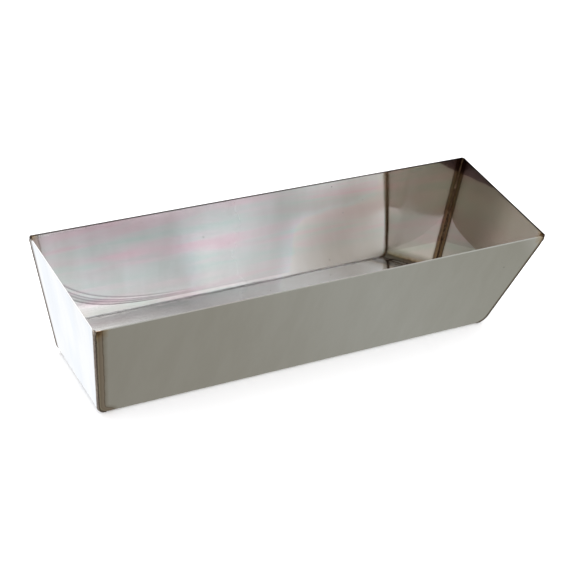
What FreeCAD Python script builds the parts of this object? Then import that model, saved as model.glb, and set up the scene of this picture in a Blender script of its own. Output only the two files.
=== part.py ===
"""A twelve inch mud pan: a folded stainless trough closed by two welded end plates.

Millimetres.  +X runs along the pan, +Y across it, +Z up.  The origin is the middle
of the underside, on the surface that the pan stands on.
"""

import FreeCAD, Part

import math
import os

import Sketcher

from FreeCAD import Vector

DIMENSIONS = {
    "top_length": 304.8,  # outside, rim to rim
    "top_width": 94.0,
    "bottom_length": 272.0,  # where the outer faces would meet the table unbent
    "bottom_width": 59.5,
    "depth": 77.0,
    "sheet_thickness": 0.8,
    "fold_radius": 2.0,  # outside radius of the two long folds
    "end_bend_radius": 8.0,  # outside radius of each end plate's foot
    "corner_bead_radius": 0.95,
    "corner_bead_depth": 0.65,  # from the outer faces to the bead's centre line
    "floor_bead_width": 2.4,
    "floor_bead_height": 1.0,
    "rim_corner_radius": 2.5,  # the dressed tips of the rim, seen from above
}
BEND_STEPS = 8  # points of the seam along one end bend
BEYOND = 4.0  # how far construction shapes run past the sheet

X_AXIS = Vector(1, 0, 0)
Y_AXIS = Vector(0, 1, 0)
Z_AXIS = Vector(0, 0, 1)

doc = FreeCAD.newDocument("mud_pan")
dims = doc.addObject("Spreadsheet::Sheet", "dims")


def fill_sheet():
    for row, (alias, value) in enumerate(DIMENSIONS.items(), start=1):
        dims.set(f"A{row}", alias)
        dims.set(f"B{row}", str(value))
        dims.setAlias(f"B{row}", alias)
    doc.recompute()


def origin_plane(body, role):
    return next(f for f in body.Origin.OriginFeatures if f.Role == role)


def new_sketch(body, role, name):
    sketch = body.newObject("Sketcher::SketchObject", name)
    sketch.AttachmentSupport = (origin_plane(body, role), [""])
    sketch.MapMode = "FlatFace"
    return sketch


def add_loop(sketch, corners):
    """A closed loop of straight lines through the corners, joined end to end."""
    first = sketch.GeometryCount
    count = len(corners)
    for i, corner in enumerate(corners):
        after = corners[(i + 1) % count]
        sketch.addGeometry(Part.LineSegment(Vector(*corner, 0), Vector(*after, 0)), False)
    for i in range(count):
        joint = Sketcher.Constraint("Coincident", first + i, 2, first + (i + 1) % count, 1)
        sketch.addConstraint(joint)


def add_size(sketch, kind, ends, value, expression):
    """A distance constraint whose value follows the spreadsheet."""
    index = sketch.addConstraint(Sketcher.Constraint(kind, *ends, value))
    sketch.setExpression(f"Constraints[{index}]", expression)


def half_turn(bottom, top):
    """The tangent of half the angle that a bend turns through, for use in expressions."""
    return f"tan(45 deg - atan((dims.{top} - dims.{bottom}) / 2 / dims.depth) / 2)"


def trapezoid_sketch(body, role, bottom, top, sunk):
    """The pan's outline across one plane, its walls sunk inwards, standing on the origin."""
    low, high, tall = getattr(dims, bottom) / 2, getattr(dims, top) / 2, dims.depth
    narrower = f"2 * {sunk} * {half_turn(bottom, top)}"
    sketch = new_sketch(body, role, f"{body.Name}_outline")
    add_loop(sketch, [(-low, 0), (low, 0), (high, tall), (-high, tall)])
    sketch.addConstraint(Sketcher.Constraint("Symmetric", 0, 1, 0, 2, -2))
    sketch.addConstraint(Sketcher.Constraint("Symmetric", 2, 1, 2, 2, -2))
    sketch.addConstraint(Sketcher.Constraint("PointOnObject", 0, 1, -1))
    add_size(sketch, "DistanceX", (0, 1, 0, 2), 2 * low, f"dims.{bottom} - {narrower}")
    add_size(sketch, "DistanceX", (2, 2, 2, 1), 2 * high, f"dims.{top} - {narrower}")
    add_size(sketch, "DistanceY", (1, 1, 1, 2), tall, "dims.depth")
    return sketch


def rectangle_sketch(body, name, length, width):
    """A rectangle on the XY plane, centred on the origin."""
    x, y = getattr(dims, length) / 2, getattr(dims, width) / 2
    sketch = new_sketch(body, "XY_Plane", name)
    add_loop(sketch, [(-x, -y), (x, -y), (x, y), (-x, y)])
    sketch.addConstraint(Sketcher.Constraint("Horizontal", 0))
    sketch.addConstraint(Sketcher.Constraint("Vertical", 1))
    sketch.addConstraint(Sketcher.Constraint("Horizontal", 2))
    sketch.addConstraint(Sketcher.Constraint("Vertical", 3))
    sketch.addConstraint(Sketcher.Constraint("Symmetric", 0, 1, 2, 1, -1, 1))
    add_size(sketch, "DistanceX", (0, 1, 0, 2), 2 * x, f"dims.{length}")
    add_size(sketch, "DistanceY", (1, 1, 1, 2), 2 * y, f"dims.{width}")
    return sketch


def pad(body, sketch, length):
    feature = body.newObject("PartDesign::Pad", f"{body.Name}_pad")
    feature.Profile = sketch
    feature.setExpression("Length", f"dims.{length}")
    return feature


def fillet(body, base, edges, radius):
    feature = body.newObject("PartDesign::Fillet", f"{body.Name}_fillet")
    feature.Base = (base, edges)
    feature.setExpression("Radius", radius)
    return feature


def names_where(kind, items, wanted):
    return [f"{kind}{i}" for i, item in enumerate(items, start=1) if wanted(item)]


def flat_at_floor(edge):
    return abs(edge.BoundBox.ZMin) < 1e-4 and abs(edge.BoundBox.ZMax) < 1e-4


def bent_block(name, role, bottom, top, length, radius, sunk="0"):
    """The pan's form across one plane, run along the other, its lower edges rounded.

    Sinking moves the floor, the walls and the bends inwards from the outside alike.
    """
    body = doc.addObject("PartDesign::Body", name)
    block = pad(body, trapezoid_sketch(body, role, bottom, top, sunk), length)
    block.SideType = "Symmetric"
    doc.recompute()

    def is_lower_long_edge(edge):
        return flat_at_floor(edge) and abs(edge.Length - getattr(dims, length)) < 1e-4

    edges = names_where("Edge", block.Shape.Edges, is_lower_long_edge)
    body.Tip = fillet(body, block, edges, f"dims.{radius} - {sunk}")
    body.setExpression("Placement.Base.z", sunk)
    doc.recompute()
    return body


def pan_form(name, sunk="0"):
    side = bent_block(
        f"{name}_sides", "YZ_Plane", "bottom_width", "top_width", "top_length", "fold_radius", sunk
    )
    ends = bent_block(
        f"{name}_ends", "XZ_Plane", "bottom_length", "top_length", "top_width", "end_bend_radius",
        sunk,
    )
    return common(side, ends, name)


class Profile:
    """A wall, its bend and the floor in one vertical plane, sunk below the outer faces."""

    def __init__(self, bottom, top, radius, sunk):
        self.lean = math.atan((top - bottom) / 2 / dims.depth)
        self.turn = math.pi / 2 - self.lean
        self.flat = bottom / 2 - radius * math.tan(self.turn / 2)
        self.centre_z = radius
        self.radius = radius - sunk
        self.base = bottom / 2 - sunk / math.cos(self.lean)

    def on_bend(self, angle):
        """The distance from the middle and the height, an angle round from the floor."""
        out = self.flat + self.radius * math.sin(angle)
        return out, self.centre_z - self.radius * math.cos(angle)

    def at_height(self, z):
        if z >= self.on_bend(self.turn)[1]:
            return self.base + z * math.tan(self.lean)
        return self.flat + math.sqrt(self.radius**2 - (self.centre_z - z) ** 2)


def seam_profiles():
    sunk = dims.corner_bead_depth
    end = Profile(dims.bottom_length, dims.top_length, dims.end_bend_radius, sunk)
    side = Profile(dims.bottom_width, dims.top_width, dims.fold_radius, sunk)
    return end, side


def seam_points(end, side):
    """The right back corner's seam from the floor to above the rim.

    It climbs round the end plate's foot, and at each height it lies where the wall's
    own profile is as high as the end plate's.
    """
    points = []
    for step in range(BEND_STEPS + 1):
        x, z = end.on_bend(end.turn * step / BEND_STEPS)
        points.append(Vector(x, side.at_height(z), z))
    above = dims.depth + BEYOND
    points.append(Vector(end.at_height(above), side.at_height(above), above))
    return points


def shape_object(name, shape):
    feature = doc.addObject("Part::Feature", name)
    feature.Shape = shape
    feature.Placement = FreeCAD.Placement()
    return feature


def seam_path(points):
    """The bend as one smooth curve that runs straight on up the corner."""
    bend = Part.BSplineCurve()
    foot, top = points[-2], points[-1]
    ahead = (points[1] - points[0]).normalize()
    ahead.z = 0
    upwards = (top - foot).normalize()
    bend.interpolate(Points=points[:-1], InitialTangent=ahead, FinalTangent=upwards)
    path = Part.Wire([bend.toShape(), Part.LineSegment(foot, top).toShape()])
    return shape_object("seam_path", path)


def corner_bead_pipe(path, points):
    section = doc.addObject("Part::Circle", "corner_bead_section")
    section.setExpression("Radius", "dims.corner_bead_radius")
    along = path.Shape.Edges[0].tangentAt(path.Shape.Edges[0].FirstParameter)
    section.Placement = FreeCAD.Placement(points[0], FreeCAD.Rotation(Z_AXIS, along))
    pipe = doc.addObject("Part::Sweep", "corner_bead_pipe")
    pipe.Sections = [section]
    pipe.Spine = (path, ["Edge1", "Edge2"])
    pipe.Solid = True
    return pipe


def floor_bead_bar(side):
    """A bar across the floor at the seam, as long as the flat floor is wide."""
    bar = doc.addObject("Part::Box", "floor_bead_bar")
    turn = half_turn("bottom_length", "top_length")
    flat = f"dims.bottom_length / 2 - dims.end_bend_radius * {turn}"
    bar.setExpression("Length", "dims.floor_bead_width")
    bar.setExpression("Height", "dims.floor_bead_height")
    bar.Width = 2 * side.flat + dims.sheet_thickness
    bar.setExpression("Placement.Base.x", f"{flat} - dims.floor_bead_width / 2")
    bar.setExpression("Placement.Base.y", "-Width / 2")
    return bar


def rim_block():
    """The pan's bounding block with its upright edges rounded, which dresses the tips."""
    body = doc.addObject("PartDesign::Body", "rim_block")
    sketch = rectangle_sketch(body, "rim_outline", "top_length", "top_width")
    block = pad(body, sketch, "depth")
    doc.recompute()

    def is_upright(edge):
        return edge.BoundBox.ZLength > dims.depth - 1e-4

    edges = names_where("Edge", block.Shape.Edges, is_upright)
    body.Tip = fillet(body, block, edges, "dims.rim_corner_radius")
    doc.recompute()
    return body


def mirrored(source, name, normal):
    feature = doc.addObject("Part::Mirroring", name)
    feature.Source = source
    feature.Normal = normal
    return feature


def cut(base, tool, name):
    feature = doc.addObject("Part::Cut", name)
    feature.Base = base
    feature.Tool = tool
    return feature


def common(base, tool, name):
    feature = doc.addObject("Part::Common", name)
    feature.Base = base
    feature.Tool = tool
    return feature


def fused(shapes, name):
    feature = doc.addObject("Part::MultiFuse", name)
    feature.Shapes = shapes
    return feature


def welded_tub(block):
    """The whole sheet metal shell, open at the rim, before the beads are told apart."""
    shell = cut(pan_form("outside"), pan_form("inside", "dims.sheet_thickness"), "shell")
    return common(shell, block, "tub")


def part_sheets(sheets):
    """The beads separate the tub into the three sheets that they join."""
    doc.recompute()
    solids = sorted(sheets.Shape.Solids, key=lambda solid: solid.CenterOfMass.x)
    names = ["left_end_plate", "trough", "right_end_plate"]
    return [shape_object(name, solid) for name, solid in zip(names, solids, strict=True)]


def build():
    """Makes every sub-part and returns them, each labelled with its node's name."""
    fill_sheet()
    end, side = seam_profiles()
    points = seam_points(end, side)
    block = rim_block()

    pipe = corner_bead_pipe(seam_path(points), points)
    back_right = common(pipe, block, "back_right_corner_weld")
    front_right = mirrored(back_right, "front_right_corner_weld", Y_AXIS)
    back_left = mirrored(back_right, "back_left_corner_weld", X_AXIS)
    front_left = mirrored(front_right, "front_left_corner_weld", X_AXIS)
    right_corners = fused([back_right, front_right], "right_corner_beads")
    right_floor = cut(floor_bead_bar(side), right_corners, "right_floor_weld")
    left_floor = mirrored(right_floor, "left_floor_weld", X_AXIS)
    right_beads = fused([back_right, front_right, right_floor], "right_beads")
    left_beads = mirrored(right_beads, "left_beads", X_AXIS)

    half_parted = cut(welded_tub(block), right_beads, "half_parted_sheets")
    sheets = part_sheets(cut(half_parted, left_beads, "parted_sheets"))
    welds = [front_left, front_right, back_left, back_right, left_floor, right_floor]
    doc.recompute()
    return sheets + welds


def check(parts):
    """Stops before anything is written if a feature failed or a solid is not sound."""
    for feature in doc.Objects:
        if "Invalid" in feature.State or "Error" in feature.State:
            raise RuntimeError(f"{feature.Name} failed: {feature.State}")
    for part in parts:
        if part.Shape.isNull() or not part.Shape.isValid():
            raise RuntimeError(f"{part.Label} has no valid shape")
        if len(part.Shape.Solids) != 1:
            raise RuntimeError(f"{part.Label} is {len(part.Shape.Solids)} solids")


def export(parts):
    os.makedirs("parts", exist_ok=True)
    for part in parts:
        part.Shape.exportStep(f"parts/{part.Label}.step")
        box = part.Shape.BoundBox
        size = f"{box.XLength:.2f} x {box.YLength:.2f} x {box.ZLength:.2f}"
        print(f"{part.Label}: {size} mm, {part.Shape.Volume:.1f} mm3")


sub_parts = build()
check(sub_parts)
export(sub_parts)
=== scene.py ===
"""The looks of the mud pan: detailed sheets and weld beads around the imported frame."""

import math

import bpy
import numpy as np
from mathutils import Matrix, Vector


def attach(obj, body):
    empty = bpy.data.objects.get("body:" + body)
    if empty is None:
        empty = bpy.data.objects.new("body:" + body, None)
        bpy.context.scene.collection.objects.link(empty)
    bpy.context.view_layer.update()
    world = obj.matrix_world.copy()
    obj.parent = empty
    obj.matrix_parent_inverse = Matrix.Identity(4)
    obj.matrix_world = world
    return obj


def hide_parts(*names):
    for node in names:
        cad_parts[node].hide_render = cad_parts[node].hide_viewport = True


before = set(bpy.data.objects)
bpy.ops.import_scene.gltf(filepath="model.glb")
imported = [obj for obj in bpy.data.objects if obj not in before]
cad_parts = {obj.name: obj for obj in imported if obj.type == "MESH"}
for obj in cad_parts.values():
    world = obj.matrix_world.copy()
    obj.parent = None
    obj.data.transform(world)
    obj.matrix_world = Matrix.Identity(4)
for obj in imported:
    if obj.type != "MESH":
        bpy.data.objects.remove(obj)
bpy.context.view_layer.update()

MM = 0.001
TOP_LENGTH = 304.8 * MM  # outside, rim to rim
TOP_WIDTH = 94.0 * MM
BOTTOM_LENGTH = 272.0 * MM  # where the outer faces would meet the table unbent
BOTTOM_WIDTH = 59.5 * MM
DEPTH = 77.0 * MM
SHEET = 0.8 * MM
FOLD_RADIUS = 2.0 * MM
END_BEND_RADIUS = 8.0 * MM
RIM_CORNER_RADIUS = 2.5 * MM
EDGE_RADIUS = 0.2 * MM  # the dulled edges of the rim
ROOT_GAP = 0.05 * MM  # between two sheets, under the bead
BEAD_RADIUS = 0.95 * MM
BEAD_DEPTH = 0.65 * MM
FLOOR_BEAD_WIDTH = 2.4 * MM
FLOOR_BEAD_HEIGHT = 1.0 * MM

SHARP_FOLD = 35  # degrees, where a sheet's shading breaks
SHARP_BEAD = 60
RIM_EDGE_STEPS = 4


class Profile:
    """A wall, its bend and the floor in one vertical plane, seen as outwards and up."""

    def __init__(self, bottom, top, radius):
        self.lean = math.atan((top - bottom) / 2 / DEPTH)
        self.turn = math.pi / 2 - self.lean
        self.flat = bottom / 2 - radius * math.tan(self.turn / 2)
        self.base = bottom / 2
        self.radius = radius
        self.up = np.array([math.sin(self.lean), math.cos(self.lean)])
        self.out = np.array([math.cos(self.lean), -math.sin(self.lean)])

    def on_bend(self, angle):
        """The point on the outer face and its normal, an angle round from the floor."""
        normal = np.array([math.sin(angle), -math.cos(angle)])
        return np.array([self.flat, self.radius]) + self.radius * normal, normal

    def reach(self, z, sunk):
        """How far out the face lies at a height, sunk below the outer face."""
        radius = self.radius - sunk
        bend_top = self.radius - radius * math.cos(self.turn)
        if z >= bend_top:
            return self.base - sunk / math.cos(self.lean) + z * math.tan(self.lean)
        return self.flat + math.sqrt(max(0.0, radius**2 - (self.radius - z) ** 2))

    def stations(self, floor_points, bend_points, wall_points):
        """Points and normals of the outer face from the floor's middle up to the rim."""
        down = np.array([0.0, -1.0])
        found = [(np.array([reach, 0.0]), down) for reach in floor_points]
        for angle in np.linspace(0, self.turn, bend_points):
            found.append(self.on_bend(angle))
        foot = found[-1][0]
        rim = DEPTH - SHEET * math.sin(self.lean)
        tall = (rim - foot[1]) / math.cos(self.lean) - EDGE_RADIUS
        for share in wall_points:
            found.append((foot + share * tall * self.up, self.out))
        return found

    def rim_edge(self, last):
        """The rounded edge of the sheet, from the outer face over to the inner face."""
        points = []
        for inset, start in ((EDGE_RADIUS, 0), (SHEET - EDGE_RADIUS, math.pi / 2)):
            centre = last - inset * self.out
            for angle in np.linspace(start, start + math.pi / 2, RIM_EDGE_STEPS):
                spoke = math.cos(angle) * self.out + math.sin(angle) * self.up
                points.append((centre + EDGE_RADIUS * spoke, inset - EDGE_RADIUS * math.cos(angle)))
        return points[1:-1]


END = Profile(BOTTOM_LENGTH, TOP_LENGTH, END_BEND_RADIUS)
SIDE = Profile(BOTTOM_WIDTH, TOP_WIDTH, FOLD_RADIUS)


# how far each wall has sprung out of flat, in mm: the middle, the drop beside the seams,
# the twist and the lower half's share
BOWS = {
    "front": (0.12, 0.10, 0.06, 0.04),
    "back": (-0.05, 0.05, -0.03, 0.03),
    "right": (0.10, 0.05, 0.0, 0.05),
    "left": (0.15, 0.1, 0.0, 0.0),
}
BOW_EDGE = 12 * MM
BOW_FOOT = 2.5 * MM
TWIST_SCALE = 2.6  # brings the peak of a twist's curve to 1


def bow(wall, share, half, z):
    """How far a wall stands out of flat, outwards. It is flat at the seams, foot and rim."""
    middle, pull, twist, lower = BOWS[wall]
    tall = min(max((z - BOW_FOOT) / (DEPTH - BOW_FOOT), 0.0), 1.0)
    once, twice = math.sin(math.pi * tall), math.sin(2 * math.pi * tall)
    dome = 1 - share * share
    drop = 1 - math.exp(-(1 - abs(share)) * half / BOW_EDGE)
    body = (middle + TWIST_SCALE * twist * share) * dome + pull * drop
    return (body * once + lower * dome * twice) * MM


def graded(near, count):
    """Shares from 0 to 1, with a support row close to each end."""
    middle = np.linspace(0, 1, count)
    return sorted({near, 1 - near, *middle[1:]})


def dress_tip(point):
    """Rounds the rim's corners, seen from above."""
    x, y, z = point
    centre_x = TOP_LENGTH / 2 - RIM_CORNER_RADIUS
    centre_y = TOP_WIDTH / 2 - RIM_CORNER_RADIUS
    over = Vector((abs(x) - centre_x, abs(y) - centre_y))
    if over.x <= 0 or over.y <= 0 or over.length <= RIM_CORNER_RADIUS:
        return point
    over.length = RIM_CORNER_RADIUS
    return (math.copysign(centre_x + over.x, x), math.copysign(centre_y + over.y, y), z)


def swept_sheet(name, section, columns, place):
    """A closed sheet: its section's points carried across the columns by place().

    The section is a pair of matching rows, outer and inner, and the loops at the rims.
    """
    outer, inner, rims = section
    count = len(outer)
    ring = outer + rims[1] + inner[::-1] + rims[0]
    points = [dress_tip(place(p, depth, share)) for share in columns for p, depth in ring]
    size = len(ring)
    faces = []
    for column in range(len(columns) - 1):
        for i in range(size):
            a, b = column * size + i, column * size + (i + 1) % size
            faces.append((a, b, b + size, a + size))
    inner_at = {i: count + len(rims[1]) + count - 1 - i for i in range(count)}
    for first, flip in ((0, True), ((len(columns) - 1) * size, False)):
        caps = [(i, i + 1, inner_at[i + 1], inner_at[i]) for i in range(count - 1)]
        caps.append(tuple(range(count - 1, count + len(rims[1]) + 1)))
        if rims[0]:
            caps.append((inner_at[0], *range(inner_at[0] + 1, size), 0))
        for cap in caps:
            cap = tuple(first + i for i in cap)
            faces.append(cap[::-1] if flip else cap)
    piece = new_piece(name, points, faces)
    sunk = [depth / SHEET for _, depth in ring] * len(columns)
    store(piece, "inside", sunk)
    on_rim = [0.0] * count + [1.0] * len(rims[1]) + [0.0] * count + [1.0] * len(rims[0])
    store(piece, "rim", on_rim * len(columns))
    return piece


def store(piece, name, values):
    layer = piece.data.attributes.new(name, "FLOAT", "POINT")
    layer.data.foreach_set("value", np.asarray(values, dtype=np.float32))


def new_piece(name, points, faces, sharp=SHARP_FOLD):
    mesh = bpy.data.meshes.new(name)
    mesh.from_pydata([tuple(p) for p in points], [], faces)
    mesh.update()
    mesh.shade_smooth()
    mesh.set_sharp_from_angle(angle=math.radians(sharp))
    piece = bpy.data.objects.new(name, mesh)
    bpy.context.scene.collection.objects.link(piece)
    return piece


SUPPORT = 0.004
WALL_ROWS = 37
FOLD_ROWS = 9
END_BEND_ROWS = 25
FLOOR_ROWS = 8
FLOOR_EDGE = 0.3 * MM  # from the floor's last row to the fold
# the columns along each sheet, from -1 to 1, closer together beside the seams
BESIDE_SEAM = np.geomspace(SUPPORT, 0.2, 22)
COLUMNS = [-1, *(BESIDE_SEAM - 1), *np.linspace(-0.77, 0.77, 61), *(1 - BESIDE_SEAM[::-1]), 1]


def build_trough():
    floor = np.linspace(0, SIDE.flat - FLOOR_EDGE, FLOOR_ROWS)[1:]
    half = SIDE.stations(floor, FOLD_ROWS, graded(SUPPORT, WALL_ROWS))
    mirror = np.array([-1.0, 1.0])
    both = [(p * mirror, n * mirror) for p, n in half[::-1]]
    both += [(np.array([0.0, 0.0]), np.array([0.0, -1.0]))] + half
    outer = [(p, 0.0) for p, _ in both]
    inner = [(p - SHEET * n, SHEET) for p, n in both]
    rim = SIDE.rim_edge(half[-1][0])
    left = [(p * mirror, depth) for p, depth in rim[::-1]]

    def place(point, depth, share):
        y, z = point
        half = END.reach(min(z, DEPTH), depth) - ROOT_GAP
        if abs(y) > SIDE.flat:
            wall = "front" if y < 0 else "back"
            y += math.copysign(bow(wall, share, half, z), y)
        return (share * half, y, z)

    return swept_sheet("trough_sheet", (outer, inner, (left, rim)), COLUMNS, place)


def build_end(name, hand):
    foot = END.flat + ROOT_GAP
    stations = END.stations([foot], END_BEND_ROWS, graded(SUPPORT, WALL_ROWS))
    outer = [(p, 0.0) for p, _ in stations]
    inner = [(p - SHEET * n, SHEET) for p, n in stations]
    rim = END.rim_edge(stations[-1][0])
    wall = "right" if hand > 0 else "left"

    def place(point, depth, share):
        x, z = point
        half = SIDE.reach(min(z, DEPTH), depth) - ROOT_GAP
        x += bow(wall, -hand * share, half, z)
        return (hand * x, -hand * share * half, z)

    return swept_sheet(name, (outer, inner, ([], rim)), COLUMNS, place)


def seam_point(share, depth):
    """A point of the back right seam, sunk below the outer faces.

    A share from 0 to 1 is on the bend, and from 1 to 2 on the straight run up to the rim.
    """
    point, normal = END.on_bend(END.turn * min(share, 1))
    x, z = point - depth * normal
    if share > 1:
        z += (share - 1) * (DEPTH - z)
        x = END.reach(z, depth)
    return np.array([x, SIDE.reach(z, depth), z])


SEAM_SAMPLES = 400


def even_path(depth, step):
    """The seam's points a step apart."""
    raw = np.array([seam_point(share, depth) for share in np.linspace(0, 2, SEAM_SAMPLES)])
    gone = np.concatenate([[0], np.cumsum(np.linalg.norm(np.diff(raw, axis=0), axis=1))])
    stops = np.linspace(0, gone[-1], int(gone[-1] / step))
    return np.stack([np.interp(stops, gone, raw[:, k]) for k in range(3)], axis=1), stops


TUBE_SIDES = 20


def tube(name, path, radius_at, around=TUBE_SIDES, cross=(0, 1, 0)):
    """A closed tube along a path whose radius varies along it and around it."""
    tangents = np.gradient(path, axis=0)
    tangents /= np.linalg.norm(tangents, axis=1)[:, None]
    points = []
    for i, (centre, tangent) in enumerate(zip(path, tangents)):
        first = np.array(cross) - np.dot(cross, tangent) * tangent
        first /= np.linalg.norm(first)
        second = np.cross(tangent, first)
        for k in range(around):
            angle = 2 * math.pi * k / around
            spoke = math.cos(angle) * first + math.sin(angle) * second
            points.append(centre + radius_at(i, angle) * spoke)
    rings = len(path)
    faces = []
    for i in range(rings - 1):
        for k in range(around):
            a, b = i * around + k, i * around + (k + 1) % around
            faces.append((a, b, b + around, a + around))
    faces.append(tuple(range(around))[::-1])
    faces.append(tuple(range((rings - 1) * around, rings * around)))
    return new_piece(name, points, faces, SHARP_BEAD)


BEAD_STEP = 0.18 * MM
RIPPLE_PITCH = 0.9 * MM
RIPPLE_HEIGHT = 0.05 * MM
RIPPLE_LAG = 1.3  # how far a ripple's middle trails its edges, in radians
# the bead's uneven width, as a share of its radius and how quickly it changes
SLOW_WANDER = (0.03, 5.3 * MM)
QUICK_WANDER = (0.02, 1.9 * MM)
# where the torch lingered, then moved on: the height, the middle below the rim and the width
END_BLOB = (0.12, 0.0, 2.5 * MM)
END_NOTCH = (-0.22, 5.5 * MM, 1.2 * MM)
# how far inwards round the bead the rubbing down reached, and how much of the wander and
# of the ripples it took off
RUBBED_REACH = 0.7
RUBBED_WANDER = 0.5
RUBBED_RIPPLE = 0.9


def bump_at(place, height, middle, width):
    return height * math.exp(-(((place - middle) / width) ** 2))


def build_corner_bead(name, hand_x, hand_y, phase):
    path, gone = even_path(BEAD_DEPTH, BEAD_STEP)
    path = path * np.array([hand_x, hand_y, 1])

    def wander_at(i):
        below_rim = gone[-1] - gone[i]
        wander = bump_at(below_rim, *END_BLOB) + bump_at(below_rim, *END_NOTCH)
        for turns, (height, pitch) in enumerate((SLOW_WANDER, QUICK_WANDER), start=1):
            wander += height * math.sin(gone[i] / pitch + turns * phase)
        return wander

    def radius_at(i, angle):
        turn = 2 * math.pi * gone[i] / RIPPLE_PITCH + RIPPLE_LAG * math.cos(angle) + phase
        ripple = RIPPLE_HEIGHT * (abs(math.sin(turn / 2)) - 1)
        outwards = hand_y * math.cos(angle) - hand_x * math.sin(angle)
        dressed = min(max(outwards + RUBBED_REACH, 0.0), 1.0)
        width = BEAD_RADIUS * (1 + wander_at(i) * (1 - RUBBED_WANDER * dressed))
        return width + ripple * (1 - RUBBED_RIPPLE * dressed)

    piece = tube(name, path, radius_at)
    axis = np.repeat(path, TUBE_SIDES, axis=0)
    points = np.array([v.co for v in piece.data.vertices])
    out = (np.abs(points) - np.abs(axis))[:, :2].sum(axis=1)
    store(piece, "inside", np.where(out < 0, 1.0, 0.0))
    for vertex in piece.data.vertices:
        vertex.co = dress_tip(vertex.co)
        vertex.co.z = min(max(vertex.co.z, 0.0), DEPTH)
    return piece


FLOOR_BEAD_STEP = 0.2 * MM
FLOOR_BEAD_MIDDLE = 0.5 * MM
FLOOR_BEAD_SIDES = 24
SQUARENESS = 3  # of the floor bead's section, where 2 is an ellipse


def build_floor_bead(name, hand):
    half = SIDE.flat - FLOOR_BEAD_STEP
    count = int(2 * half / FLOOR_BEAD_STEP)
    along = np.linspace(-half, half, count)
    across, up = np.full(count, hand * END.flat), np.full(count, FLOOR_BEAD_MIDDLE)
    path = np.stack([across, along, up], axis=1)

    def radius_at(i, angle):
        turn = 2 * math.pi * along[i] / RIPPLE_PITCH
        flat = (abs(math.cos(angle)) / (0.5 * FLOOR_BEAD_WIDTH)) ** SQUARENESS
        tall = (abs(math.sin(angle)) / (0.5 * FLOOR_BEAD_HEIGHT)) ** SQUARENESS
        shape = (flat + tall) ** (-1 / SQUARENESS)
        return shape - 0.5 * RIPPLE_HEIGHT * abs(math.sin(turn / 2))

    piece = tube(name, path, radius_at, FLOOR_BEAD_SIDES, cross=(1, 0, 0))
    store(piece, "inside", np.ones(len(piece.data.vertices)))
    return piece


def distance_to_seam(points):
    """How far each point is from the nearest corner seam, in millimetres."""
    path, _ = even_path(0.0, 1.0 * MM)
    folded = np.abs(points)
    nearest = np.full(len(points), 1e9)
    for start, end in zip(path[:-1], path[1:]):
        line = end - start
        share = np.clip(((folded - start) @ line) / (line @ line), 0, 1)
        gap = np.linalg.norm(folded - start - share[:, None] * line, axis=1)
        nearest = np.minimum(nearest, gap)
    return nearest / MM


# how far the weld's heat reached beside each seam, in mm, as (foot, rim), and how deep
# the colour went
HEAT_INSIDE = {
    ("front", "left"): (2.6, 3.2, 0.8),
    ("front", "right"): (1.7, 4.0, 1.0),
    ("back", "left"): (4.2, 5.6, 0.45),
    ("back", "right"): (4.6, 5.0, 1.0),
}
HEAT_OUTSIDE = {
    ("front", "left"): (4.8, 5.6, 1.0),
    ("front", "right"): (1.6, 2.0, 1.0),
    ("back", "left"): (1.8, 2.2, 1.0),
    ("back", "right"): (3.2, 3.8, 1.0),
}
FAR = 99.0
LEFT_END_HEAT = 0.3  # the left plate took less of the front seam's heat
# the dark line up the left plate's back edge: its width in mm at the foot and the rim, and
# its scorch, which is low up to a share of the width and then climbs steeply to clean steel
LINE_WIDTH = (3.4, 5.2)
LINE_SCORCH = 0.05
LINE_END = 0.9
LINE_FADE = 0.25
LINE_CLIMB = 8.0
# the distance to the rim's corner counts for less or more at the left seams
FRONT_LEFT_TIP = 0.8
BACK_LEFT_TIP = 1.6
FLOOR_SIDE_FOOT = 0.7  # and that to the floor weld for less on the floor


def heat_at(piece, points, inside):
    """How far the heat reached and how deep it went, at each point of a sheet."""
    found = np.ones((len(points), 2))
    for i, (x, y, z) in enumerate(points):
        table = HEAT_INSIDE if inside[i] > 0.5 else HEAT_OUTSIDE
        foot, rim, depth = table["front" if y < 0 else "back", "left" if x < 0 else "right"]
        reach = foot + (rim - foot) * z / DEPTH
        if piece.name.startswith("left_end") and inside[i] < 0.5 and y < 0:
            reach *= LEFT_END_HEAT
        found[i] = reach, depth
    return found


def mark_seams(piece):
    """Stores what the tints follow: scorch is 1 where the colour of a seam's heat ends."""
    points = np.array([v.co for v in piece.data.vertices])
    inside = np.zeros(len(points), dtype=np.float32)
    piece.data.attributes["inside"].data.foreach_get("value", inside)
    heat = heat_at(piece, points, inside)
    away = distance_to_seam(points)
    scorch = away / heat[:, 0]
    if piece.name.startswith("left_end"):
        foot, rim = LINE_WIDTH
        line = foot + (rim - foot) * points[:, 2] / DEPTH
        behind = (inside < 0.5) & (points[:, 1] > 0)
        past = np.clip(away / line - LINE_END, 0.0, LINE_FADE)
        scorch = np.where(behind, LINE_SCORCH + LINE_CLIMB * past, scorch)
    store(piece, "scorch", scorch)
    store(piece, "scorch_depth", heat[:, 1])
    tip = np.abs(points) - [TOP_LENGTH / 2, TOP_WIDTH / 2, DEPTH]
    near_tip = np.linalg.norm(tip, axis=1) / MM
    front_left = (points[:, 0] < 0) & (points[:, 1] < 0)
    back_left = (points[:, 0] < 0) & (points[:, 1] > 0)
    near_tip[front_left] *= FRONT_LEFT_TIP
    near_tip[back_left] *= BACK_LEFT_TIP
    unburnt = front_left & ((inside > 0.5) | piece.name.startswith("left_end"))
    store(piece, "tip", np.where(unburnt, FAR, near_tip))
    foot = np.hypot(np.abs(points[:, 0]) - END.flat, points[:, 2]) / MM
    foot[np.abs(points[:, 0]) < END.flat] *= FLOOR_SIDE_FOOT
    store(piece, "foot", np.where(np.abs(points[:, 1]) < SIDE.flat, foot, FAR))


# ---------------------------------------------------------------- materials


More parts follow.
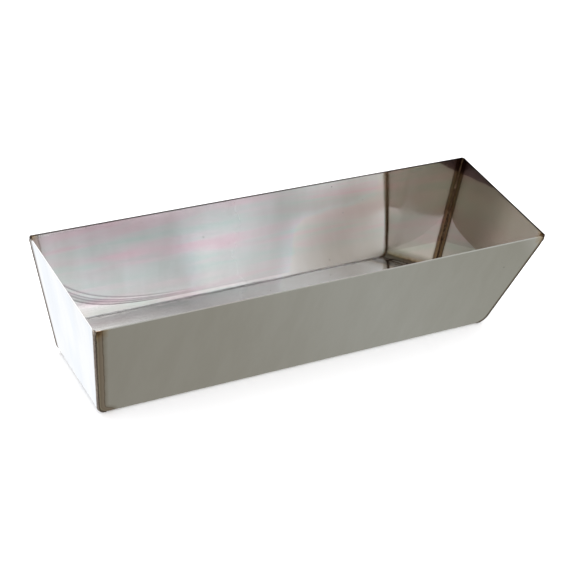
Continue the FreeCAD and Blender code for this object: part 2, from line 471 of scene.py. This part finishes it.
class Nodes:
    """Short calls for building a node tree."""

    def __init__(self, tree):
        self.tree = tree

    def add(self, kind, inputs=None, **settings):
        node = self.tree.nodes.new(kind)
        for key, value in settings.items():
            setattr(node, key, value)
        for key, value in (inputs or {}).items():
            self.plug(value, node.inputs[key])
        return node

    def plug(self, value, socket):
        if isinstance(value, bpy.types.NodeSocket):
            self.tree.links.new(value, socket)
        else:
            socket.default_value = value

    def math(self, operation, a, b=0.0):
        return self.add("ShaderNodeMath", {0: a, 1: b}, operation=operation).outputs[0]

    def plus(self, a, b):
        return self.math("ADD", a, b)

    def minus(self, a, b):
        return self.math("SUBTRACT", a, b)

    def times(self, a, b):
        return self.math("MULTIPLY", a, b)

    def over(self, a, b):
        return self.math("DIVIDE", a, b)

    def step(self, value, low, high, to_low=0.0, to_high=1.0, kind="SMOOTHSTEP"):
        inputs = {"Value": value, "From Min": low, "From Max": high}
        inputs |= {"To Min": to_low, "To Max": to_high}
        node = self.add("ShaderNodeMapRange", inputs, interpolation_type=kind)
        return node.outputs[0]

    def along(self, value, low, high):
        return self.step(value, low, high, kind="LINEAR")

    def fade(self, value, low, high, start=1.0):
        return self.step(value, low, high, start, 0.0)

    def between(self, value, rise, fall):
        return self.times(self.step(value, *rise), self.fade(value, *fall))

    def tinted(self, colour, tint):
        return self.mix(1.0, colour, tint, "MULTIPLY")

    def mix(self, factor, a, b, blend="MIX"):
        node = self.add("ShaderNodeMix", data_type="RGBA", blend_type=blend)
        colours = [s for s in node.inputs if s.type == "RGBA"]
        self.plug(factor, node.inputs[0])
        self.plug(a, colours[0])
        self.plug(b, colours[1])
        return next(s for s in node.outputs if s.type == "RGBA")

    def noise(self, vector, scale, detail=3.0, rough=0.5, distort=0.0):
        inputs = {"Vector": vector, "Scale": scale, "Detail": detail}
        inputs |= {"Roughness": rough, "Distortion": distort}
        return self.add("ShaderNodeTexNoise", inputs).outputs["Fac"]

    def stretched(self, vector, scale):
        return self.add("ShaderNodeMapping", {"Vector": vector, "Scale": scale}).outputs[0]

    def ramp(self, factor, stops):
        node = self.add("ShaderNodeValToRGB", {"Fac": factor})
        elements = node.color_ramp.elements
        elements.remove(elements[1])
        elements[0].position, first = stops[0]
        elements[0].color = (*first, 1)
        for position, colour in stops[1:]:
            elements.new(position).color = (*colour, 1)
        return node.outputs["Color"]

    def attribute(self, name):
        return self.add("ShaderNodeAttribute", attribute_name=name).outputs["Fac"]


def new_material(name):
    material = bpy.data.materials.new(name)
    material.use_nodes = True
    tree = material.node_tree
    shader = tree.nodes["Principled BSDF"]
    return material, Nodes(tree), shader


class Spot:
    """Where a shaded point lies, in metres and in mm, and how far it is to the inside."""

    def __init__(self, n):
        self.where = n.add("ShaderNodeTexCoord").outputs["Object"]
        axes = n.add("ShaderNodeSeparateXYZ", {0: self.where}).outputs
        self.x, self.y, self.z = (n.over(axes[axis], MM) for axis in "XYZ")
        self.inside = n.attribute("inside")


STEEL = (0.79, 0.785, 0.778, 1)
WHITE = (1.0, 1.0, 1.0)
UNTINTED = (*WHITE, 1)

# the oxide beside a seam: its colour against the distance, as a share of the heat's reach
HEAT_RAMP_END = 1.5
INNER_HEAT = [
    (0.25, (0.07, 0.043, 0.026)),
    (0.36, (0.14, 0.10, 0.065)),
    (0.43, (0.70, 0.62, 0.52)),
    (0.50, (0.50, 0.40, 0.29)),
    (0.80, (0.62, 0.53, 0.42)),
    (0.90, (0.22, 0.17, 0.13)),
    (0.97, (0.36, 0.30, 0.26)),
    (1.06, (0.86, 0.83, 0.80)),
    (1.40, WHITE),
]
OUTER_HEAT = [
    (0.22, (0.16, 0.12, 0.09)),
    (0.30, (0.75, 0.68, 0.58)),
    (0.40, (0.70, 0.60, 0.48)),
    (0.46, (0.56, 0.47, 0.39)),
    (0.82, (0.70, 0.60, 0.52)),
    (0.90, (0.36, 0.29, 0.24)),
    (1.00, (0.74, 0.70, 0.65)),
    (1.45, WHITE),
]
HEAT_WOBBLE = 0.10
WOBBLE_SCALE = 330
HEAT_STREAKS = 0.16
STREAK_STRETCH = (400, 400, 40)
# the burnt ends of the seams at the rim, and the straw beside the floor welds, over mm
TIP_RAMP_END = 12.0
TIP_WOBBLE = 5.0
BURNT_TIP = [
    (0.05, (0.10, 0.07, 0.05)),
    (0.20, (0.30, 0.20, 0.12)),
    (0.36, (0.85, 0.69, 0.49)),
    (0.55, (0.96, 0.88, 0.78)),
    (0.75, WHITE),
]
FOOT_RAMP_END = 11.0
FOOT_WOBBLE = 3.0
FOOT_STRAW = [
    (0.08, (0.10, 0.07, 0.04)),
    (0.20, (0.20, 0.17, 0.12)),
    (0.42, (0.20, 0.165, 0.115)),
    (0.50, (0.12, 0.09, 0.05)),
    (0.56, (0.64, 0.52, 0.35)),
    (0.66, (0.92, 0.86, 0.76)),
    (0.78, WHITE),
]


def heat_tint(n, spot, colour):
    """The oxide colours beside the seams, at the rim's corners and beside the floor welds."""
    wobble = n.minus(n.noise(spot.where, WOBBLE_SCALE, detail=3), 0.5)
    drawn = n.minus(n.noise(n.stretched(spot.where, STREAK_STRETCH), 1.0, detail=2), 0.5)
    heat = n.plus(n.attribute("scorch"), n.times(wobble, HEAT_WOBBLE))
    share = n.over(n.plus(heat, n.times(drawn, HEAT_STREAKS)), HEAT_RAMP_END)
    inner = n.ramp(share, [(at / HEAT_RAMP_END, tone) for at, tone in INNER_HEAT])
    outer = n.ramp(share, [(at / HEAT_RAMP_END, tone) for at, tone in OUTER_HEAT])
    beside = n.mix(n.step(spot.inside, 0.4, 0.6), outer, inner)
    deep = {"Color": beside, "Gamma": n.attribute("scorch_depth")}
    colour = n.tinted(colour, n.add("ShaderNodeGamma", deep).outputs[0])

    tip = n.plus(n.attribute("tip"), n.times(wobble, TIP_WOBBLE))
    colour = n.tinted(colour, n.ramp(n.over(tip, TIP_RAMP_END), BURNT_TIP))

    foot = n.plus(n.attribute("foot"), n.times(wobble, FOOT_WOBBLE))
    straw = n.ramp(n.over(foot, FOOT_RAMP_END), FOOT_STRAW)
    return n.mix(spot.inside, colour, n.tinted(colour, straw))


# faint bands of oxide film on the inner walls, from pink to green
FILM_BANDS = [(0.37, (1.0, 0.91, 0.94)), (0.47, (0.98, 0.955, 0.965)), (0.60, (0.90, 0.965, 0.945))]
FILM_STRETCH = (8, 40, 85)
FILM_HEIGHT = (10.0, 20.0)  # mm, where the bands begin above the floor and are whole
OUTER_FILM = (0.975, 0.98, 0.97, 1)
WORN = [(0.38, (0.965, 0.962, 0.955)), (0.6, WHITE)]
WORN_STRETCH = (70, 70, 14)
SPECK = (0.2, 0.19, 0.18, 1)
SPECK_DEPTH = 0.55
SPECK_SCALE = 45.0
SPECK_EDGE = (0.012, 0.03)


def polish(n, spot, film_depth):
    """The steel's own colour, with its film and its wear."""
    bands = n.noise(n.stretched(spot.where, FILM_STRETCH), 1.0, detail=2.0, distort=1.1)
    on_wall = n.times(spot.inside, n.step(spot.z, *FILM_HEIGHT, 0.0, film_depth))
    colour = n.tinted(STEEL, n.mix(on_wall, OUTER_FILM, n.ramp(bands, FILM_BANDS)))
    worn = n.noise(n.stretched(spot.where, WORN_STRETCH), 1.0, detail=4, rough=0.6)
    return n.tinted(colour, n.ramp(worn, WORN))


def speckled(n, spot, colour):
    pores = {"Vector": spot.where, "Scale": SPECK_SCALE}
    away = n.add("ShaderNodeTexVoronoi", pores).outputs["Distance"]
    return n.mix(n.step(away, *SPECK_EDGE), n.mix(SPECK_DEPTH, colour, SPECK), colour)


# the tint of the rim's edge on each side: a painted highlight on the left and painted shade on the
# other sides, darkest on the right
FRONT_EDGE_SHADE = (0.42, 0.42, 0.39, 1)
LEFT_EDGE_HIGHLIGHT = (1.2, 1.2, 1.2, 1)
BACK_EDGE_SHADE = (0.17, 0.16, 0.155, 1)
RIGHT_EDGE_SHADE = (0.06, 0.05, 0.045, 1)
# where one side's edge passes into the next, and where the painted shade of the lip begins, in mm
LEFT_CORNER = (-149, -147)
RIGHT_CORNER = (130, 150)
RIGHT_SIDE = (148, 149)
BACK_SIDE = (40, 44)
LIP_HEIGHT = (76.1, 76.5)


def rim_highlight_and_shade(n, spot, colour):
    """The rim's edge with painted highlight and shade, and on the back and the right a dark lip of
    painted shade just inside it.
    """
    far_side = n.math("MAXIMUM", n.step(spot.x, *RIGHT_SIDE), n.step(spot.y, *BACK_SIDE))
    far_edge = n.mix(n.step(spot.x, *RIGHT_CORNER), BACK_EDGE_SHADE, RIGHT_EDGE_SHADE)
    near_edge = n.mix(n.step(spot.x, *LEFT_CORNER), LEFT_EDGE_HIGHLIGHT, FRONT_EDGE_SHADE)
    edge = n.mix(far_side, near_edge, far_edge)
    lip_shade = n.times(n.times(far_side, spot.inside), n.step(spot.z, *LIP_HEIGHT))
    lip_shade = n.math("MAXIMUM", n.attribute("rim"), lip_shade)
    return n.mix(lip_shade, colour, n.tinted(colour, edge))


SMUDGE_SCALE = 38
SMUDGE_RANGE = (0.35, 0.75)
POLISH_ROUGHNESS = (0.02, 0.045)
GRAIN_BUMP = {"Strength": 0.02, "Distance": 0.0002}


def steel_material(name, grain, walls, film_depth):
    """Polished stainless sheet. The grain is the noise scale along each axis."""
    material, n, shader = new_material(name)
    spot = Spot(n)
    shader.inputs["Metallic"].default_value = 1.0
    # the walls' tone is painted light: reflections, highlights and shade laid into the colour
    tone, haze = walls(n, spot)
    colour = n.tinted(polish(n, spot, film_depth), tone)
    colour = speckled(n, spot, heat_tint(n, spot, colour))
    n.plug(rim_highlight_and_shade(n, spot, colour), shader.inputs["Base Color"])

    smudge = n.noise(spot.where, SMUDGE_SCALE, detail=4)
    rough = n.plus(n.step(smudge, *SMUDGE_RANGE, *POLISH_ROUGHNESS), haze)
    n.plug(rough, shader.inputs["Roughness"])
    lines = n.noise(n.stretched(spot.where, grain), 1.0, detail=4, rough=0.6)
    bump = n.add("ShaderNodeBump", {"Height": lines, **GRAIN_BUMP})
    n.plug(bump.outputs[0], shader.inputs["Normal"])
    return material


# Painted reflections on the back wall and the right plate, beside the back right seam. A dark
# painted reflection fills the corner above a line that rises from the seam. The veil, a dimmer
# painted reflection, hangs down to a line: its height far from the seam, its rise at the seam
# and how quickly it falls. The reaches say where the veil and its haze thin out. All in mm.
DARK_REFLECTION_HEIGHT = 66.5
DARK_REFLECTION_EDGE = (-0.4, 1.0)
VEIL_EDGE = (-0.4, 0.6)
VEIL_HAZE = 0.20
REFLECTION_WOBBLE_SCALE = 60
REFLECTION_WOBBLE = 2.0
VEIL_WOBBLE = 0.3  # of the dark painted reflection's
BACK_PAINTED_REFLECTION = {
    "dark_reflection": (0.36, 0.28, 0.28, 1),
    "dark_reflection_slope": 0.48,
    "veil": (0.93, 0.97, 0.95, 1),
    "line": (21.5, 26.0, 13.0),
    "reach": (46.0, 52.0),
    "haze_reach": (38.0, 46.0),
}
END_PAINTED_REFLECTION = {
    "dark_reflection": (0.24, 0.175, 0.175, 1),
    "dark_reflection_slope": 0.26,
    "veil": (0.58, 0.51, 0.43, 1),
    "line": (34.5, 10.0, 6.0),
    "reach": (0.0, 220.0),
    "haze_reach": (200.0, 210.0),
}


def from_seam(n, spot, across, profile):
    """How far a point lies from the right or back seam, in mm, along a wall."""
    seam = n.plus(n.times(spot.z, math.tan(profile.lean)), profile.base / MM)
    return n.minus(seam, across)


def painted_corner_reflection(n, spot, edge, reflection):
    """The painted reflections' tone and haze, at a distance from the seam."""
    wobble = n.times(n.minus(n.noise(spot.where, REFLECTION_WOBBLE_SCALE, detail=3), 0.5), REFLECTION_WOBBLE)
    dark_reflection_line = n.plus(n.times(edge, reflection["dark_reflection_slope"]), DARK_REFLECTION_HEIGHT)
    dark_reflection = n.step(n.plus(n.minus(spot.z, dark_reflection_line), wobble), *DARK_REFLECTION_EDGE)
    level, flare, flare_reach = reflection["line"]
    fall = n.math("EXPONENT", n.over(n.times(edge, -1.0), flare_reach))
    above = n.minus(spot.z, n.plus(n.times(fall, flare), level))
    veil = n.step(n.plus(above, n.times(wobble, VEIL_WOBBLE)), *VEIL_EDGE)
    tone = n.mix(n.times(veil, n.fade(edge, *reflection["reach"])), UNTINTED, reflection["veil"])
    haze = n.times(veil, n.fade(edge, *reflection["haze_reach"], VEIL_HAZE))
    return n.mix(dark_reflection, tone, reflection["dark_reflection"]), haze


# Painted reflections: how bright the steel is made, left to right along the back wall and the
# floor, and up the back wall. The ends of each ramp are in mm.
LENGTHWISE = (-150, 150)
BACK_REFLECTION_ALONG = [
    (0.04, (1.15, 1.14, 1.14)),
    (0.12, (0.97, 0.97, 0.98)),
    (0.55, (0.865, 0.85, 0.865)),
    (0.66, (1.25, 1.26, 1.27)),
    (0.72, (1.26, 1.28, 1.30)),
    (0.80, (1.45, 1.55, 1.61)),
    (0.815, (0.74, 0.70, 0.655)),
]
FLOOR_REFLECTION_ALONG = [
    (0.04, (0.84, 0.84, 0.86)),
    (0.12, (1.15, 1.15, 1.16)),
    (0.2, (1.2, 1.21, 1.22)),
    (0.4, (0.55, 0.55, 0.56)),
    (0.87, (0.68, 0.68, 0.69)),
    (0.91, (0.27, 0.215, 0.16)),
]
UPWARDS = (0, 80)
BACK_REFLECTION_UP = [(0.25, (1.08, 1.08, 1.08)), (0.9, (0.895, 0.895, 0.895))]
# the back wall's painted highlight in the middle and painted shade in its right corner, with their
# places in mm
BACK_MIDDLE_HIGHLIGHT = (1.46, 1.56, 1.67, 1)
MIDDLE_ACROSS = ((8, 34), (90, 94))
MIDDLE_UP = ((4, 10), (46, 66))
BACK_CORNER_SHADE = (0.86, 0.86, 0.86, 1)
CORNER_START = (93, 96)
CORNER_TOP = (38, 50)
# the front wall, with a painted highlight that grows to the right and a haze that grows with it,
# and where it meets the floor
FRONT_RIGHT_HIGHLIGHT = (1.22, 1.23, 1.24, 1)
FRONT_RIGHT_RISE = (20, 90)
FRONT_HAZE = 0.34
FRONT_HAZE_RISE = (-100, 70)
FRONT_FOOT = (-29.4, -29.0)
FLOOR_TOP = (1.0, 1.3)
BACK_START = (0, 10)
# painted shade: a dark line along the inside of the folds
FOLD_SHADE = (0.12, 0.11, 0.11, 1)
FOLD_HEIGHT = ((0.88, 0.95), (1.38, 1.5))


def back_wall(n, spot):
    """The back wall's painted reflections, highlight and shade, and its haze."""
    tone, veil = painted_corner_reflection(n, spot, from_seam(n, spot, spot.x, END), BACK_PAINTED_REFLECTION)
    tone = n.tinted(tone, painted_swirl_reflections(n, spot.x, spot.z))
    tone = n.tinted(tone, n.ramp(n.along(spot.x, *LENGTHWISE), BACK_REFLECTION_ALONG))
    tone = n.tinted(tone, n.ramp(n.along(spot.z, *UPWARDS), BACK_REFLECTION_UP))
    middle = n.times(n.between(spot.z, *MIDDLE_UP), n.between(spot.x, *MIDDLE_ACROSS))
    tone = n.tinted(tone, n.mix(middle, UNTINTED, BACK_MIDDLE_HIGHLIGHT))
    corner = n.times(n.step(spot.x, *CORNER_START), n.fade(spot.z, *CORNER_TOP))
    return n.tinted(tone, n.mix(corner, UNTINTED, BACK_CORNER_SHADE)), veil


def side_walls(n, spot):
    """The painted reflections, highlights and shade, and the haze of the trough, inside only."""
    back, veil = back_wall(n, spot)
    front = n.mix(n.step(spot.x, *FRONT_RIGHT_RISE), UNTINTED, FRONT_RIGHT_HIGHLIGHT)
    at_back = n.step(spot.y, *BACK_START)
    tone = n.mix(at_back, front, back)
    floor = n.ramp(n.along(spot.x, *LENGTHWISE), FLOOR_REFLECTION_ALONG)
    tone = n.mix(n.fade(spot.z, *FLOOR_TOP), tone, floor)
    tone = n.mix(n.between(spot.z, *FOLD_HEIGHT), tone, FOLD_SHADE)
    hazier = n.times(n.along(spot.x, *FRONT_HAZE_RISE), FRONT_HAZE)
    haze = n.times(n.fade(spot.y, *FRONT_FOOT), hazier)
    haze = n.plus(haze, n.times(at_back, veil))
    return n.mix(spot.inside, UNTINTED, tone), n.times(haze, spot.inside)


# painted reflections in bands of arcs, upwards from a brighter painted strip beside the floor
STRIP_HIGHLIGHT = (1.22, 1.22, 1.22)
SWIRL_REFLECTIONS = [
    (0.08, STRIP_HIGHLIGHT),
    (0.10, (0.46, 0.42, 0.44)),
    (0.16, (0.66, 0.62, 0.64)),
    (0.24, (1.00, 0.98, 0.98)),
    (0.34, (0.58, 0.54, 0.57)),
    (0.44, (0.95, 0.92, 0.94)),
    (0.52, (0.62, 0.58, 0.62)),
    (0.60, (1.08, 1.08, 1.08)),
    (0.70, (1.04, 1.04, 1.04)),
    (0.76, (0.56, 0.54, 0.56)),
    (0.82, (0.84, 0.82, 0.84)),
    (0.90, WHITE),
]
# a curve's start, reach, height and level, in mm
STRIP_CURVE = (-123.5, 19.0, 9.2, 21.0)
ARC_CURVE = (-134.0, 26.0, 21.0, 23.0)
SWIRL_START = 0.12
SWIRL_SCALE = 0.68
SWIRL_ENDS = (-75, -25)  # mm, where the painted arcs begin to fade and where they are gone


def painted_swirl_reflections(n, x, z):
    """Painted reflections in arcs low on the left of the back wall."""
    strip_edge, arc_edge = hump(n, x, *STRIP_CURVE), hump(n, x, *ARC_CURVE)
    share = n.over(n.minus(z, strip_edge), n.minus(arc_edge, strip_edge))
    share = n.times(n.plus(share, SWIRL_START), SWIRL_SCALE)
    plain = n.mix(n.step(share, 0.03, 0.09), (*STRIP_HIGHLIGHT, 1), UNTINTED)
    return n.mix(n.step(x, *SWIRL_ENDS), n.ramp(share, SWIRL_REFLECTIONS), plain)


def hump(n, x, start, reach, height, level):
    """A height that falls from the left end to a level, in mm."""
    gone = n.over(n.minus(start, x), reach)
    return n.plus(n.times(n.math("EXPONENT", gone), height), level)


FOOT_SHADE = (0.3, 0.27, 0.2, 1)
FOOT_SHADE_DEPTH = 0.75
FOOT_SHADE_ENDS = (4, 9)  # mm above the table
# a cool painted reflection, in streaks, on the left plate's outer face only
COOL_REFLECTION_STREAKS = [(0.4, (0.90, 0.93, 0.97)), (0.6, WHITE)]
COOL_STRETCH = (60, 60, 12)
RIGHT_START = (0, 10)


def end_walls(n, spot):
    """The tints of the end plates: painted reflections inside the right one, painted shade low on
    both and a cool painted reflection on the left outer face.
    """
    tone, veil = painted_corner_reflection(n, spot, from_seam(n, spot, spot.y, SIDE), END_PAINTED_REFLECTION)
    tone = n.mix(n.fade(spot.z, *FOOT_SHADE_ENDS, FOOT_SHADE_DEPTH), tone, FOOT_SHADE)
    at_right = n.step(spot.x, *RIGHT_START)
    streaks = n.noise(n.stretched(spot.where, COOL_STRETCH), 1.0, detail=3)
    cool_reflection = n.mix(spot.inside, n.ramp(streaks, COOL_REFLECTION_STREAKS), UNTINTED)
    painted_inside = n.times(at_right, spot.inside)
    return n.mix(painted_inside, n.mix(at_right, cool_reflection, UNTINTED), tone), n.times(painted_inside, veil)


OXIDE = [(0.3, (0.025, 0.014, 0.008)), (0.55, (0.075, 0.046, 0.027)), (0.75, (0.21, 0.145, 0.10))]
DRESSED = [(0.35, (0.13, 0.10, 0.08)), (0.65, (0.20, 0.165, 0.13))]
MOTTLE_SCALE = 420
DRESSED_STRETCH = (900, 900, 60)
WELD_ROUGHNESS = (0.25, 0.5)
WELD_BUMP = {"Strength": 0.3, "Distance": 0.0002}


def weld_material():
    """A bead: dark mottled oxide inside, drawn and rubbed down outside."""
    material, n, shader = new_material("weld")
    spot = Spot(n)
    shader.inputs["Metallic"].default_value = 1.0
    mottle = n.noise(spot.where, MOTTLE_SCALE, detail=4, rough=0.6)
    drawn = n.noise(n.stretched(spot.where, DRESSED_STRETCH), 1.0, detail=3)
    colour = n.mix(spot.inside, n.ramp(drawn, DRESSED), n.ramp(mottle, OXIDE))
    n.plug(colour, shader.inputs["Base Color"])
    n.plug(n.step(mottle, 0.3, 0.7, *WELD_ROUGHNESS), shader.inputs["Roughness"])
    bump = n.add("ShaderNodeBump", {"Height": mottle, **WELD_BUMP})
    n.plug(bump.outputs[0], shader.inputs["Normal"])
    return material


# ---------------------------------------------------------------- studio


def toward(azimuth, elevation):
    """The direction at an azimuth from +Y round to +X and an elevation, in degrees."""
    a, e = math.radians(azimuth), math.radians(elevation)
    return Vector((math.sin(a) * math.cos(e), math.cos(a) * math.cos(e), math.sin(e)))


def only_in_reflections(piece):
    piece.visible_camera = False
    piece.visible_diffuse = False
    piece.visible_shadow = False
    piece.visible_transmission = False
    piece.visible_volume_scatter = False


def bare_material(name):
    """A material without a shader: it, its nodes and the socket of its surface."""
    material = bpy.data.materials.new(name)
    material.use_nodes = True
    material.node_tree.nodes.clear()
    n = Nodes(material.node_tree)
    return material, n, n.add("ShaderNodeOutputMaterial").inputs["Surface"]


DOME_SHAPE = {"segments": 48, "ring_count": 24, "radius": 3.0}
DOME_BASE = (1.25, 1.24, 1.27, 1)
# the dome's patches: azimuth, elevation, half width and softness in degrees, and the colour
PATCHES = [
    (150, 37, 9, 9, (1.16, 1.17, 1.21)),
    (150, 25, 6, 9, (1.65, 1.66, 1.70)),
    (131, 56, 6, 6, (1.02, 1.03, 1.05)),
    (42, 52, 9, 8, (1.5, 1.46, 1.48)),
    (-46, 18, 9, 5, (0.55, 0.50, 0.40)),
    (-125, 37, 10, 8, (0.82, 0.75, 0.66)),
    (-150, 43, 8, 5, (1.65, 1.62, 1.66)),
    (-152, 0, 12, 6, (0.5, 0.4, 0.4)),
    (35, 37, 5, 5, (0.95, 0.95, 0.97)),
    (-128, 0, 16, 6, (0.2, 0.16, 0.16)),
]


def patched(n, way, colour, azimuth, elevation, half, soft, patch):
    """The dome's colour with one soft-edged round patch laid over it."""
    ways = {0: way, 1: toward(azimuth, elevation)}
    facing = n.add("ShaderNodeVectorMath", ways, operation="DOT_PRODUCT").outputs["Value"]
    ends, whole = math.cos(math.radians(half + soft)), math.cos(math.radians(half))
    return n.mix(n.step(facing, ends, whole), colour, (*patch, 1))


def build_dome():
    """The studio as the polished steel sees it: pale all round, with softer patches."""
    bpy.ops.mesh.primitive_uv_sphere_add(**DOME_SHAPE)
    dome = bpy.context.object
    dome.name = "studio_dome"
    material, n, surface = bare_material("studio_dome")
    where = n.add("ShaderNodeTexCoord").outputs["Object"]
    way = n.add("ShaderNodeVectorMath", {0: where}, operation="NORMALIZE").outputs[0]
    colour = DOME_BASE
    for patch in PATCHES:
        colour = patched(n, way, colour, *patch)
    n.plug(n.add("ShaderNodeEmission", {"Color": colour}).outputs[0], surface)
    dome.data.materials.append(material)
    only_in_reflections(dome)


FLOOR_SIZE = 12.0
FLOOR_GAP = 0.3 * MM  # between the pan and the stage floor
FLOOR_TONES = [(0.3, (0.89, 0.89, 0.9)), (0.7, (0.91, 0.91, 0.91))]
FLOOR_CLOUDS = 3.0
FLOOR_ROUGHNESS = 0.9
FLOOR_SPECULAR = 0.05


def build_floor():
    bpy.ops.mesh.primitive_plane_add(size=FLOOR_SIZE, location=(0, 0, -FLOOR_GAP))
    floor = bpy.context.object
    floor.name = "floor"
    material, n, shader = new_material("floor")
    where = n.add("ShaderNodeTexCoord").outputs["Object"]
    cloud = n.noise(where, FLOOR_CLOUDS, detail=2)
    n.plug(n.ramp(cloud, FLOOR_TONES), shader.inputs["Base Color"])
    shader.inputs["Roughness"].default_value = FLOOR_ROUGHNESS
    shader.inputs["Specular IOR Level"].default_value = FLOOR_SPECULAR
    floor.data.materials.append(material)


CARD_REACH = 0.6
# the card's tones, left to right before the pan and outwards behind it, with the ends of
# each ramp in mm
CARD_WIDTH = (-200, 250)
FRONT_TONES = [
    (0.0, (0.29, 0.275, 0.235)),
    (0.35, (0.325, 0.315, 0.275)),
    (0.6, (0.39, 0.39, 0.355)),
    (0.87, (0.35, 0.345, 0.30)),
    (0.94, (0.50, 0.49, 0.46)),
]
CARD_DEPTH = (0, 160)
BEHIND_TONES = [(0.0, (0.42, 0.42, 0.40)), (0.5, (0.60, 0.60, 0.58)), (1.0, (0.86, 0.86, 0.86))]
LEFT_TONE = (1.17, 1.19, 1.23, 1)
# in mm: where the part behind begins, and where the left part ends
BEHIND_START = (-30, -10)
LEFT_END = (-135.6, -134)
BACK_FOOT = 30
RIGHT_FOOT = 140
CARD_FADE = (-340, -200)  # where the card ends in front, and where it is whole


def card_tone(n, spot):
    front = n.ramp(n.along(spot.x, *CARD_WIDTH), FRONT_TONES)
    outwards = n.math("MAXIMUM", n.minus(spot.y, BACK_FOOT), n.minus(spot.x, RIGHT_FOOT))
    behind = n.ramp(n.along(outwards, *CARD_DEPTH), BEHIND_TONES)
    tone = n.mix(n.step(spot.y, *BEHIND_START), front, behind)
    return n.mix(n.step(spot.x, *LEFT_END), LEFT_TONE, tone)


def build_table_card():
    """The table as the outer faces see it: grey in front and behind, pale on the left."""
    reach = CARD_REACH
    corners = [(-reach, -reach, 0), (reach, -reach, 0), (reach, reach, 0), (-reach, reach, 0)]
    mesh = bpy.data.meshes.new("table_card")
    mesh.from_pydata(corners, [], [(0, 1, 2, 3)])
    card = bpy.data.objects.new("table_card", mesh)
    bpy.context.scene.collection.objects.link(card)
    material, n, surface = bare_material("table_card")
    spot = Spot(n)
    glow = n.add("ShaderNodeEmission", {"Color": card_tone(n, spot)}).outputs[0]
    clear = n.add("ShaderNodeBsdfTransparent").outputs[0]
    whole = n.step(spot.y, *CARD_FADE)
    n.plug(n.add("ShaderNodeMixShader", {0: whole, 1: clear, 2: glow}).outputs[0], surface)
    mesh.materials.append(material)
    only_in_reflections(card)


WORLD_STRENGTH = 1.7
LAMP_SIZE = 1.6
LAMP_POWER = 12
LAMP_PLACE = Vector((-0.5, 0.7, 1.8))


def build_lights():
    world = bpy.data.worlds.new("studio")
    world.use_nodes = True
    background = world.node_tree.nodes["Background"]
    background.inputs["Color"].default_value = (1, 1, 1, 1)
    background.inputs["Strength"].default_value = WORLD_STRENGTH
    bpy.context.scene.world = world
    lamp = bpy.data.lights.new("softbox", "AREA")
    lamp.shape = "DISK"
    lamp.size = LAMP_SIZE
    lamp.energy = LAMP_POWER
    box = bpy.data.objects.new("softbox", lamp)
    box.location = LAMP_PLACE
    box.rotation_euler = (-LAMP_PLACE).to_track_quat("-Z", "Y").to_euler()
    box.visible_glossy = False
    bpy.context.scene.collection.objects.link(box)


# the camera that was fitted to the photo: its angles in degrees, its distance and its aim
CAMERA_AZIMUTH = -34.87
CAMERA_ELEVATION = 35.84
CAMERA_ROLL = 10.17
CAMERA_DISTANCE = 3.261 * TOP_LENGTH
CAMERA_AIM = Vector((-0.001 * TOP_LENGTH, 0, 0.124 * TOP_LENGTH))
SENSOR = 36.0
FOCAL_SHARE = 2.83  # the focal length over the sensor's width
CLIP_END = 50.0


def build_camera():
    a, e, r = (math.radians(v) for v in (CAMERA_AZIMUTH, CAMERA_ELEVATION, CAMERA_ROLL))
    back = Vector((math.sin(a) * math.cos(e), -math.cos(a) * math.cos(e), math.sin(e)))
    right = (-back).cross(Vector((0, 0, 1))).normalized()
    up = back.cross(right)
    across = math.cos(r) * right + math.sin(r) * up
    upright = math.cos(r) * up - math.sin(r) * right
    data = bpy.data.cameras.new("camera")
    data.sensor_width = SENSOR
    data.lens = SENSOR * FOCAL_SHARE
    data.clip_end = CLIP_END
    camera = bpy.data.objects.new("camera", data)
    bpy.context.scene.collection.objects.link(camera)
    turned = Matrix((across, upright, back)).transposed().to_4x4()
    turned.translation = CAMERA_AIM + CAMERA_DISTANCE * back
    camera.matrix_world = turned
    bpy.context.scene.camera = camera


def hand_over(piece, node, material):
    piece.data.materials.append(material)
    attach(piece, "root")
    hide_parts(node)


def build_pan():
    long_grain = steel_material("sheet_long_grain", (30, 2500, 2500), side_walls, 1.0)
    cross_grain = steel_material("sheet_cross_grain", (2500, 30, 2500), end_walls, 0.25)
    trough = build_trough()
    left = build_end("left_end_sheet", -1)
    right = build_end("right_end_sheet", 1)
    for piece in (trough, left, right):
        mark_seams(piece)
    hand_over(trough, "trough", long_grain)
    hand_over(left, "left_end_plate", cross_grain)
    hand_over(right, "right_end_plate", cross_grain)
    weld = weld_material()
    for index, (side, hand_y) in enumerate((("front", -1), ("back", 1))):
        for end, hand_x in (("left", -1), ("right", 1)):
            name = f"{side}_{end}_corner"
            bead = build_corner_bead(f"{name}_bead", hand_x, hand_y, 1.7 * index + hand_x)
            hand_over(bead, f"{name}_weld", weld)
    for end, hand in (("left", -1), ("right", 1)):
        bead = build_floor_bead(f"{end}_floor_bead", hand)
        hand_over(bead, f"{end}_floor_weld", weld)


build_pan()
build_floor()
build_dome()
build_table_card()
build_lights()
build_camera()

BOUNCES = 24
scene = bpy.context.scene
scene.view_settings.view_transform = "Standard"
scene.cycles.max_bounces = BOUNCES
scene.cycles.glossy_bounces = BOUNCES
